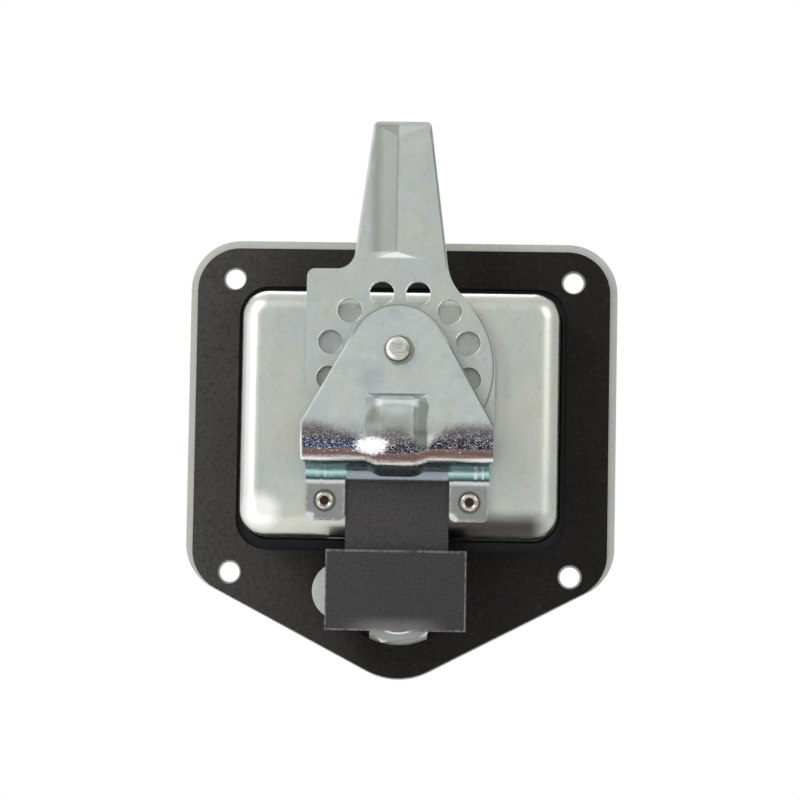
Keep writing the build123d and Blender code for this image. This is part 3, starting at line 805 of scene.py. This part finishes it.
    def below(self, surface: Surface) -> Socket:
        """Colours what is under the band: web in the middle, bends and feet at the sides.

        Args:
            surface: Its fields.

        Returns:
            The colour.
        """
        side, z = abs(surface.x), surface.z
        streak = surface.wander(1.6, 1.0, (1.0, 0.02, 0.02))
        worn = surface.noise(0.9, 3.0)
        glint = streak.step(0.02, 0.16) * z.within(-15.3, -12.6, 0.5) * side.step(17.0, 20.0)
        rim = side.step(24.3, 24.8).most(side.step(15.2, 14.7)).most(z.step(-26.3, -26.9))
        rim *= z.step(-17.0, -17.6) * worn.step(0.38, 0.6)
        corner = surface.reach(24.4, -26.6).least(surface.reach(-15.0, -26.6))
        ring = surface.reach(19.8, -21.9).least(surface.reach(-19.8, -21.9))
        # Painted reflections and painted highlight lines on the bends, over the feet's tone.
        foot = surface.lay(
            (z + streak * 0.5).colours(self.foot_tone_and_reflection_stops),
            (glint, Mark.GLINT),
            (rim, Mark.FOOT_RIM),
            ((corner + worn * 2.0).step(3.2, 2.0), Mark.FOOT_CORNER),
            (ring.within(2.3, 3.0, 0.3), Mark.RIVET_RING),
        )
        # The web's colour is painted shade.
        web = surface.lay(self.web, (surface.noise(0.45, 3.0).step(0.63, 0.7), Mark.WEB_SCRATCH))
        return surface.mix(side.step(13.7, 14.2), web, foot)

    def face(self, surface: Surface) -> Socket:
        """Colours the flat face: painted highlight and shade on the slanted edges, painted shade on the
        rib's slopes, a painted highlight and shade line at the rib's top, and painted shade round the pin.

        Args:
            surface: Its fields.

        Returns:
            The colour.
        """
        x, z = surface.x, surface.z
        side, soft = abs(x), surface.wander(2.5)
        rib = z.within(*self.rib_z, 0.6)
        # Painted shade on the rib's two slopes.
        right = (soft - x).within(*self.slope_x, 0.7) * rib
        left = (x + soft).within(*self.slope_x, 0.7) * rib
        middle = (side + soft * 2.0).step(6.5, 3.0) * z.within(-6.0, 0.0, 2.5)
        smudge = (surface.reach(6.2, 0.8) + soft * 3.0).step(3.4, 0.8)
        # Painted highlight on the rib's top end; a painted shade line lies above it.
        lens = (surface.reach(0.0, -12.0) + soft * 0.6).within(16.6, 18.0, 0.9)
        cloud = (surface.reach(7.3, 11.5) + soft * 5.0).step(6.0, 1.0)
        # Painted highlight on the +X slanted edge, painted shade on the -X one and its wall.
        across, up, reach = self.slant
        inside = -(side * across + z * up) + reach
        edge_shading = inside.within(0.12, 0.4, 0.15) * z.step(23.0, 19.0)
        crown = surface.reach(0.0, 17.9).within(13.0, 13.4, 0.15)
        # Painted shade round the pin.
        stain = (surface.reach(-0.35, 18.7) + soft * 0.8).step(4.3, 3.9)
        plain = super().tint(surface)
        colour = surface.lay(
            plain,
            (right, Mark.RIB_RIGHT_SHADE),
            (left, Mark.RIB_LEFT_SHADE),
            (middle, Mark.RIB_MIDDLE),
            (smudge, Mark.SMUDGE),
            (z.within(4.9, 6.9) * side.step(8.3, 7.9), Mark.BROW),
            (lens * side.step(6.6, 4.0), Mark.LENS_HIGHLIGHT),
            (z.within(6.35, 6.7, 0.15) * side.step(7.9, 4.5), Mark.BLUE_SHADE_LINE),
            (cloud, Mark.BLUE_CLOUD),
            (inside.step(0.08, 0.0) * x.step(1.0, -1.0), Mark.SLANT_WALL_SHADE),
            (edge_shading * x.step(-1.0, 1.0), Mark.SLANT_EDGE_HIGHLIGHT),
            (edge_shading * x.step(1.0, -1.0), Mark.SLANT_EDGE_SHADE),
            (crown * z.step(21.0, 25.0), Mark.CROWN),
            (stain, Mark.PIN_SHADE),
        )
        return surface.mix(surface.y.step(30.0, 31.0), plain, colour)

    def gloss(self, surface: Surface) -> Field:
        """The stretched band is smoother."""
        return super().gloss(surface) - surface.z.step(1.0, -3.0) * 0.1


@dataclass(frozen=True)
class RolledRivet(Finish):
    """Plated steel rivet with a rolled end round its dark bore.

    The eye gets a bright rim with a little stain, and painted shade inside.

    Args:
        mouth_mm: Y where the bore begins.
        stained: Colour of the stained rim.
        bore: Colour inside the bore, painted shade.
    """

    metallic: float = 1.0
    roughness: float = 0.22
    uneven: float = 0.0
    relief_mm: float = 0.0
    mouth_mm: float = 24.2
    stained: str = "#B0A89E"
    bore: str = "#4B3B33"

    def tint(self, surface: Surface) -> Socket:
        """Paints shade into the bore and stains the rim a little.

        Args:
            surface: Its fields.

        Returns:
            The colour.
        """
        rim = surface.noise(1.5).colours([(0.3, self.stained), (0.6, self.colour)])
        # Painted shade deeper than the bore's mouth.
        depth = surface.y.step(self.mouth_mm, self.mouth_mm - 0.6) * surface.y.step(20.0, 21.0)
        return surface.mix(depth, rim, self.bore)


@dataclass(frozen=True)
class TurnedSteel(Finish):
    """Bright plated bar, turned on a lathe.

    The eye gets fine rings on the end face, a few cross scratches and a browned rim.

    Args:
        axis_mm: X and Z of the bar's axis.
        rim_mm: Radius where the browned rim begins.
        ring_rate: Radians of the turned rings in a millimetre.
    """

    metallic: float = 1.0
    roughness: float = 0.24
    uneven: float = 0.0
    relief_mm: float = 0.01
    axis_mm: Span = (0.0, 19.0)
    rim_mm: float = 2.9
    ring_rate: float = 14.0

    def tint(self, surface: Surface) -> Socket:
        """Lays scratches, the chamfer's light and shade and the browned side over the steel.

        Args:
            surface: Its fields.

        Returns:
            The colour.
        """
        out = surface.reach(*self.axis_mm)
        up = surface.z - self.axis_mm[1]
        scratch = surface.noise(0.4, 2.0, (0.15, 1.0, 1.0))
        end = surface.y.step(31.0, 32.0)
        chamfer = out.within(self.rim_mm - 0.6, self.rim_mm + 0.15, 0.15) * end
        lit = (surface.x - up).step(-1.5, 2.5) + 0.125
        shaded = (-surface.x - up).step(0.0, 3.0)
        side = out.step(self.rim_mm + 0.15, self.rim_mm + 0.3) * end
        stain = surface.noise(1.2).step(0.3, 0.7) * 0.4 + 0.6
        return surface.lay(
            self.colour,
            (scratch.step(0.5, 0.66), Mark.DARK_SCRATCH),
            (scratch.step(0.45, 0.34), Mark.LIGHT_SCRATCH),
            (chamfer * lit, Mark.LIT_CHAMFER),
            (chamfer * shaded, Mark.SHADED_CHAMFER),
            (side * stain, Mark.BROWN_SIDE),
        )

    def height(self, surface: Surface) -> Field:
        """Rings round the axis."""
        return (surface.reach(*self.axis_mm) * self.ring_rate).combined("SINE")


@dataclass(frozen=True)
class Foam(Finish):
    """Die-cut closed cell foam.

    The eye gets a matt black with fine pores, lighter to one side with a painted sheen, and
    cut edges that catch pale dust.

    Args:
        lit_side: Colour of the side with the painted sheen, towards +X.
        deep: Colour of the side without it.
        reach_mm: X where each is reached.
        pore: Colour inside the pores.
        dust: Colour of the dust.
        rims: Lowest and highest X and Z whose rims carry dust, or None.
        rear_mm: Y of the face that these rims go round.
    """

    roughness: float = 0.9
    uneven: float = 0.0
    specular: float = 0.2
    grain_mm: float = 0.7
    relief_mm: float = 0.12
    lit_side: str = "#3A3837"
    deep: str = "#1E1C1B"
    reach_mm: float = 55.0
    pore: str = "#0C0C0C"
    dust: str = "#8C8987"
    rims: tuple[float, float, float, float] | None = None
    rear_mm: float = 0.0

    def tint(self, surface: Surface) -> Socket:
        """Lays pores and dust over the tone.

        Args:
            surface: Its fields.

        Returns:
            The colour.
        """
        pores = self.height(surface)
        # Painted sheen: lighter towards +X, darker towards -X.
        side = surface.x + surface.wander(22.0, 1.0) * 30.0
        tone = side.colours([(-self.reach_mm, self.deep), (0.0, self.colour), (self.reach_mm, self.lit_side)])
        tone = surface.mix(pores.step(0.5, 0.32) * 0.35, tone, self.pore)
        tone = surface.mix(pores.step(0.55, 0.8) * 0.05, tone, self.dust)
        return self.dusted(surface, tone) if self.rims else tone

    def dusted(self, surface: Surface, tone: Socket) -> Socket:
        """Lays dust on the cut rims and a pale band above the lowest one.

        Args:
            surface: Its fields.
            tone: Colour underneath.

        Returns:
            The dusted colour.
        """
        x, z = surface.x, surface.z
        low_x, high_x, low_z, high_z = self.rims
        rim = x.step(high_x - 0.5, high_x - 0.1).most(x.step(low_x + 0.5, low_x + 0.1))
        rim = rim.most(z.step(low_z + 0.6, low_z + 0.1)).most(z.within(high_z - 0.5, high_z, 0.3) * 0.6)
        rim *= surface.y.step(self.rear_mm - 0.6, self.rear_mm - 0.1)
        glow = z.step(low_z + 4.5, low_z + 0.5) * abs(x).step(16.0, 4.0) * 0.35
        tone = surface.mix(rim * surface.noise(1.2, 3.0).step(0.3, 0.6) * 0.6, tone, self.dust)
        return surface.mix(glow, tone, self.dust)


@dataclass(frozen=True)
class Lamp:
    """A soft square lamp that points at the latch.

    Args:
        name: Name of the lamp.
        place_m: Its position.
        size_m: Side of the square.
        power_w: Its power.
    """

    name: str
    place_m: tuple[float, float, float]
    size_m: float
    power_w: float

    def build(self) -> None:
        """Adds the lamp to the scene."""
        data = bpy.data.lights.new(self.name, "AREA")
        data.size = self.size_m
        data.energy = self.power_w
        lamp = bpy.data.objects.new(self.name, data)
        spot = Vector(self.place_m)
        lamp.matrix_world = Matrix.Translation(spot) @ (-spot).to_track_quat("-Z", "Y").to_matrix().to_4x4()
        bpy.context.collection.objects.link(lamp)


@dataclass(frozen=True)
class Studio:
    """Camera of the photograph, plain floor and white room.

    Args:
        distance_mm: From the camera to the gasket's rear face.
        scale_mm: Millimetres of that face in one pixel.
        yaw_deg: Turn of the view towards the latch's right side.
        rise_deg: How far below the latch the camera stands, as an angle.
        roll_deg: How far the latch leans clockwise in the picture.
        centre_mm: Point of the gasket's rear face in the picture's middle.
        floor_mm: Height of the floor.
        room_side: Factors of X, Y and Z that give the room its bright side.
        room_levels: Light that metal sees, from the dark side to the bright one.
        soft_levels: Light that the rest gets, from below to above.
    """

    distance_mm: float = 953.0
    scale_mm: float = 0.28
    yaw_deg: float = 2.4
    rise_deg: float = 4.4
    roll_deg: float = 1.0
    centre_mm: tuple[float, float, float] = (0.5, 3.0, 7.5)
    floor_mm: float = -170.0
    room_side: tuple[float, float, float] = (0.35, -0.8, 0.45)
    room_levels: Sequence[Span] = ((-1.0, 0.56), (-0.6, 0.62), (0.0, 0.75), (0.62, 1.0))
    soft_levels: Sequence[Span] = ((-1.0, 0.32), (0.0, 0.5), (1.0, 0.8))

    def camera(self) -> None:
        """Creates the camera and makes it the scene's."""
        yaw, rise = math.radians(self.yaw_deg), math.radians(self.rise_deg)
        look = Vector((math.sin(yaw) * math.cos(rise), -math.cos(yaw) * math.cos(rise), math.sin(rise)))
        data = bpy.data.cameras.new("camera")
        data.sensor_width = SENSOR_MM
        data.lens = SENSOR_MM * self.distance_mm / (self.scale_mm * IMAGE_SIZE)
        data.clip_start, data.clip_end = 0.01, 50.0
        data.dof.use_dof = False
        camera = bpy.data.objects.new("camera", data)
        centre = Vector(self.centre_mm) * MM
        turn = look.to_track_quat("-Z", "Y").to_matrix().to_4x4()
        roll = Matrix.Rotation(math.radians(self.roll_deg), 4, "Z")
        camera.matrix_world = Matrix.Translation(centre - look * self.distance_mm * MM) @ turn @ roll
        bpy.context.collection.objects.link(camera)
        bpy.context.scene.camera = camera

    def world(self) -> None:
        """A room that is white to the camera and graded to metal, and soft light for the rest."""
        world = bpy.data.worlds.new("room")
        world.use_nodes = True
        tree = world.node_tree
        tree.nodes.clear()
        path = add(tree, "ShaderNodeLightPath").outputs
        seen = Field(tree, path["Is Camera Ray"])
        for ray in ("Is Glossy Ray", "Is Transmission Ray"):
            seen = seen.most(Field(tree, path[ray]))
        place = add(tree, "ShaderNodeTexCoord").outputs["Generated"]
        axes = add(tree, "ShaderNodeSeparateXYZ", {"Vector": place}).outputs
        x, y, z = (Field(tree, axes[name]) for name in "XYZ")
        along_x, along_y, along_z = self.room_side
        side = x * along_x + y * along_y + z * along_z
        room = side.levels(self.room_levels).most(Field(tree, path["Is Camera Ray"]))
        soft = {"Color": z.levels(self.soft_levels).socket, "Strength": 0.9}
        ambient = add(tree, "ShaderNodeBackground", soft)
        white = add(tree, "ShaderNodeBackground", {"Color": room.socket, "Strength": 1.0})
        shares = {0: seen.socket, 1: ambient.outputs[0], 2: white.outputs[0]}
        mix = add(tree, "ShaderNodeMixShader", shares)
        add(tree, "ShaderNodeOutputWorld", {"Surface": mix.outputs[0]})
        bpy.context.scene.world = world

    def floor(self) -> None:
        """A plain pale disc under the latch."""
        place = (0, 0, self.floor_mm * MM)
        bpy.ops.mesh.primitive_circle_add(vertices=96, radius=1.1, fill_type="NGON", location=place)
        disc = bpy.context.object
        disc.name = "floor"
        material, _ = FLOOR_PAINT.shader()
        disc.data.materials.append(material)

    def build(self) -> None:
        """Makes the whole studio."""
        self.camera()
        self.world()
        self.floor()
        for lamp in LAMPS:
            lamp.build()
        bpy.context.scene.view_settings.view_transform = "Standard"


@dataclass(frozen=True)
class RimRings:
    """Equal rings spread on an arc, each round an axis along Y.

    Args:
        name: Name of the piece.
        centre_mm: Centre of the arc.
        arc_mm: Radius of the arc.
        pitch_deg: Angle from ring to ring.
        count: Number of rings, spread evenly to both sides of straight up.
        radius_mm: Radius of a ring's centre line.
        wire_mm: Radius of its round section.
        body: Body that the rings ride on.
        finish: Their finish.
        slot: Slot of the record. Not used.
    """

    name: str
    centre_mm: tuple[float, float, float]
    arc_mm: float
    pitch_deg: float
    count: int
    radius_mm: float
    wire_mm: float
    body: Body
    finish: Finish
    slot: str

    def tree(self, material: bpy.types.Material) -> Tree:
        """Builds the node tree with named sizes.

        Args:
            material: Material of the rings.

        Returns:
            The geometry node tree.
        """
        tree = bpy.data.node_groups.new(self.name, "GeometryNodeTree")
        face = tree.interface
        kinds = {"Count": "Int", "Centre": "Vector"}
        for label in ("Count", "Centre", "Arc Radius", "Pitch", "Ring Radius", "Wire Radius"):
            kind = "NodeSocket" + kinds.get(label, "Float")
            face.new_socket(label, in_out="INPUT", socket_type=kind)
        face.new_socket("Rings", in_out="OUTPUT", socket_type="NodeSocketGeometry")
        given = add(tree, "NodeGroupInput").outputs
        middle = (Field(tree, given["Count"]) - 1.0) * 0.5
        number = Field(tree, add(tree, "GeometryNodeInputIndex").outputs[0])
        angle = (number - middle) * Field(tree, given["Pitch"])
        arc = Field(tree, given["Arc Radius"])
        across, up = angle.combined("SINE") * arc, angle.combined("COSINE") * arc
        place = add(tree, "ShaderNodeCombineXYZ", {"X": across.socket, "Z": up.socket})
        spot = add(tree, "ShaderNodeVectorMath", {0: place.outputs[0], 1: given["Centre"]}, operation="ADD")
        line = add(tree, "GeometryNodeMeshLine", {"Count": given["Count"]}, mode="OFFSET")
        moved = {"Geometry": line.outputs["Mesh"], "Position": spot.outputs[0]}
        spread = add(tree, "GeometryNodeSetPosition", moved)
        ring, wire = (
            add(tree, "GeometryNodeCurvePrimitiveCircle", {"Resolution": sides, "Radius": given[radius]})
            for sides, radius in ((RING_SIDES, "Ring Radius"), (WIRE_SIDES, "Wire Radius"))
        )
        curves = {"Curve": ring.outputs["Curve"], "Profile Curve": wire.outputs["Curve"]}
        tube = add(tree, "GeometryNodeCurveToMesh", curves)
        turned = {"Geometry": tube.outputs["Mesh"], "Rotation": (math.pi / 2, 0.0, 0.0)}
        upright = add(tree, "GeometryNodeTransform", turned)
        copied = {"Points": spread.outputs[0], "Instance": upright.outputs["Geometry"]}
        rings = add(tree, "GeometryNodeInstanceOnPoints", copied)
        real = add(tree, "GeometryNodeRealizeInstances", {"Geometry": rings.outputs["Instances"]})
        smooth = add(tree, "GeometryNodeSetShadeSmooth", {"Geometry": real.outputs["Geometry"]})
        finished = {"Geometry": smooth.outputs[0], "Material": material}
        dressed = add(tree, "GeometryNodeSetMaterial", finished)
        add(tree, "NodeGroupOutput", {"Rings": dressed.outputs["Geometry"]})
        return tree

    def build(self) -> bpy.types.Object:
        """Makes the rings, bakes them to a plain mesh and lets them ride.

        Returns:
            The finished piece.
        """
        material = self.finish.build()
        tree = self.tree(material)
        maker = bpy.data.objects.new(self.name + "_maker", bpy.data.meshes.new(self.name + "_maker"))
        bpy.context.collection.objects.link(maker)
        modifier = maker.modifiers.new("rings", "NODES")
        modifier.node_group = tree
        values = {
            "Count": self.count,
            "Centre": [value * MM for value in self.centre_mm],
            "Arc Radius": self.arc_mm * MM,
            "Pitch": math.radians(self.pitch_deg),
            "Ring Radius": self.radius_mm * MM,
            "Wire Radius": self.wire_mm * MM,
        }
        for item in tree.interface.items_tree:
            if item.item_type == "SOCKET" and item.name in values:
                modifier[item.identifier] = values[item.name]
        graph = bpy.context.evaluated_depsgraph_get()
        mesh = bpy.data.meshes.new_from_object(maker.evaluated_get(graph), depsgraph=graph)
        bpy.data.objects.remove(maker)
        mesh.name = self.name
        piece = bpy.data.objects.new(self.name, mesh)
        bpy.context.collection.objects.link(piece)
        if not mesh.materials:
            mesh.materials.append(material)
        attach(piece, self.body.value)
        log.info("made %s: %d faces", self.name, len(mesh.polygons))
        return piece


@dataclass(frozen=True)
class Dresser:
    """Puts finishes on the nodes of one sub-assembly.

    Args:
        name: Name of the sub-assembly.
        finishes: Finish for each node.
    """

    name: str
    finishes: dict[str, Finish]

    def dress(self, frame: dict) -> None:
        """Assigns each finish to its node's slots.

        Args:
            frame: The loaded frame.
        """
        made: dict[str, bpy.types.Material] = {}
        for node, finish in self.finishes.items():
            if finish.name not in made:
                made[finish.name] = finish.build()
            piece = frame["nodes"][node]
            if not piece.data.materials:
                piece.data.materials.append(made[finish.name])
            for slot in piece.material_slots:
                slot.material = made[finish.name]
            log.info("%s: %s has %s", self.name, node, finish.name)


# Pale grey-green sheet with soft clouds, burnished round the dish.
PAN_ZINC = DeepDrawnZinc("zinc_plated_drawn_steel", "#C2C6BD")
# The lever's slightly darker plate, with painted highlights and painted shade along its edges.
LEVER_ZINC = WornZinc("zinc_plated_lever_steel", "#BCC2BD", cloud_mm=9.0)
# The bluest plate, with a painted dark reflection band over its bend.
BRACKET_ZINC = StretchedZinc("zinc_plated_bent_steel", "#C4CDCA", roughness=0.38, cloud_mm=9.0)
CAM_ZINC = ZincPlate("zinc_plated_cam_steel", "#C6CCC8", cloud_mm=6.0)
# Bright burr round each punched hole.
PUNCHED_ZINC = ZincPlate("zinc_plated_punched_edge", "#C9CFCD", roughness=0.36)
HARDWARE_ZINC = ZincPlate("zinc_plated_hardware", "#BFC2C0", roughness=0.33, cloud_mm=6.0)
# Coarser grain of a casting, on the handle.
HANDLE_ZINC = ZincPlate("zinc_plated_casting", "#BDBFBA", roughness=0.38, grain_mm=0.8, mottle_mm=1.92)
BRIGHT_STEEL = TurnedSteel("bright_plated_turned_steel", "#E0E3DA")
RIVET_STEEL = RolledRivet("nickel_plated_rivet_steel", "#CAC5BD")
# Almost a mirror, with hardly any grain.
LOCK_CHROME = Finish("bright_chrome", "#D6D6D6", 1.0, 0.1, relief_mm=0.0006, aged="#C2C2C0")
LOCK_BRASS = Finish("plain_brass", "#C8A55E", 1.0, 0.3, relief_mm=0.002, aged="#A2834A")
GASKET_FOAM = Foam("closed_cell_gasket_foam", "#201E1D", lit_side="#3C3A39", deep="#151413", grain_mm=0.9)
# Greyer foam whose cut rims carry pale dust.
COVER_FOAM = Foam(
    "closed_cell_cover_foam", "#363536", lit_side="#3A393A", deep="#323132",
    rims=(-19.2, 19.2, -57.2, -35.2), rear_mm=24.5,
)
STRIP_FOAM = Foam("closed_cell_strip_foam", "#3A3939", lit_side="#3E3D3D", deep="#363535")
SEAL_RUBBER = Finish("black_rubber", "#1B1B1B", roughness=0.7)
ACETAL = Finish("black_acetal", "#1E1E1E", roughness=0.45)
FLOOR_PAINT = Finish("pale_matt_floor", "#F1F1EF", roughness=0.9)

LAMPS = (
    Lamp("key_left", (0.75, 0.8, 0.65), 0.5, 9.0),
    Lamp("fill_right", (-0.8, 0.8, 0.5), 0.6, 4.5),
    Lamp("front_top", (0.3, -0.8, 0.9), 0.8, 6.0),
)

SUBASSEMBLIES = (
    Dresser("pan", {"dish_pan": PAN_ZINC, "flange_gasket": GASKET_FOAM, "spindle_bush": ACETAL}),
    Dresser("bracket", {"lever_bracket": BRACKET_ZINC, "bracket_rivets": RIVET_STEEL}),
    Dresser(
        "lever",
        {
            "latch_lever": LEVER_ZINC,
            "spindle": BRIGHT_STEEL,
            "lever_washer": HARDWARE_ZINC,
            "spindle_clip": HARDWARE_ZINC,
            "hinge_pin": BRIGHT_STEEL,
            "hinge_washers": ACETAL,
        },
    ),
    Dresser("handle", {"t_handle": HANDLE_ZINC}),
    Dresser(
        "lock",
        {
            "lock_barrel": LOCK_CHROME,
            "lock_seal": SEAL_RUBBER,
            "lock_washer": HARDWARE_ZINC,
            "lock_nut": HARDWARE_ZINC,
            "lock_plug": LOCK_CHROME,
            "lock_wafers": LOCK_BRASS,
            "lock_cam": CAM_ZINC,
            "cam_washer": HARDWARE_ZINC,
            "cam_screw": HARDWARE_ZINC,
        },
    ),
    Dresser("covers", {"lock_cover": COVER_FOAM, "cover_strip": STRIP_FOAM}),
)

RIM_RINGS = (
    RimRings(
        "rivet_lips", centre_mm=(0.0, 24.15, -21.9), arc_mm=19.8, pitch_deg=180.0, count=2,
        radius_mm=1.9, wire_mm=0.5, body=Body.HOUSING, finish=RIVET_STEEL, slot="rivet_nickel",
    ),
    RimRings(
        "punched_rims", centre_mm=(0.0, 26.46, 16.0), arc_mm=19.65, pitch_deg=29.5, count=8,
        radius_mm=3.47, wire_mm=0.13, body=Body.SPINDLE, finish=PUNCHED_ZINC, slot="lever_zinc",
    ),
)


def main() -> None:
    """Loads the frame, dresses it, adds the made pieces and sets up the studio."""
    logging.basicConfig(level=logging.INFO, format="%(name)s: %(message)s")
    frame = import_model()
    for part in SUBASSEMBLIES:
        part.dress(frame)
    for rings in RIM_RINGS:
        rings.build()
    Studio().build()
    log.info("sizes written")


if __name__ == "__main__":
    main()
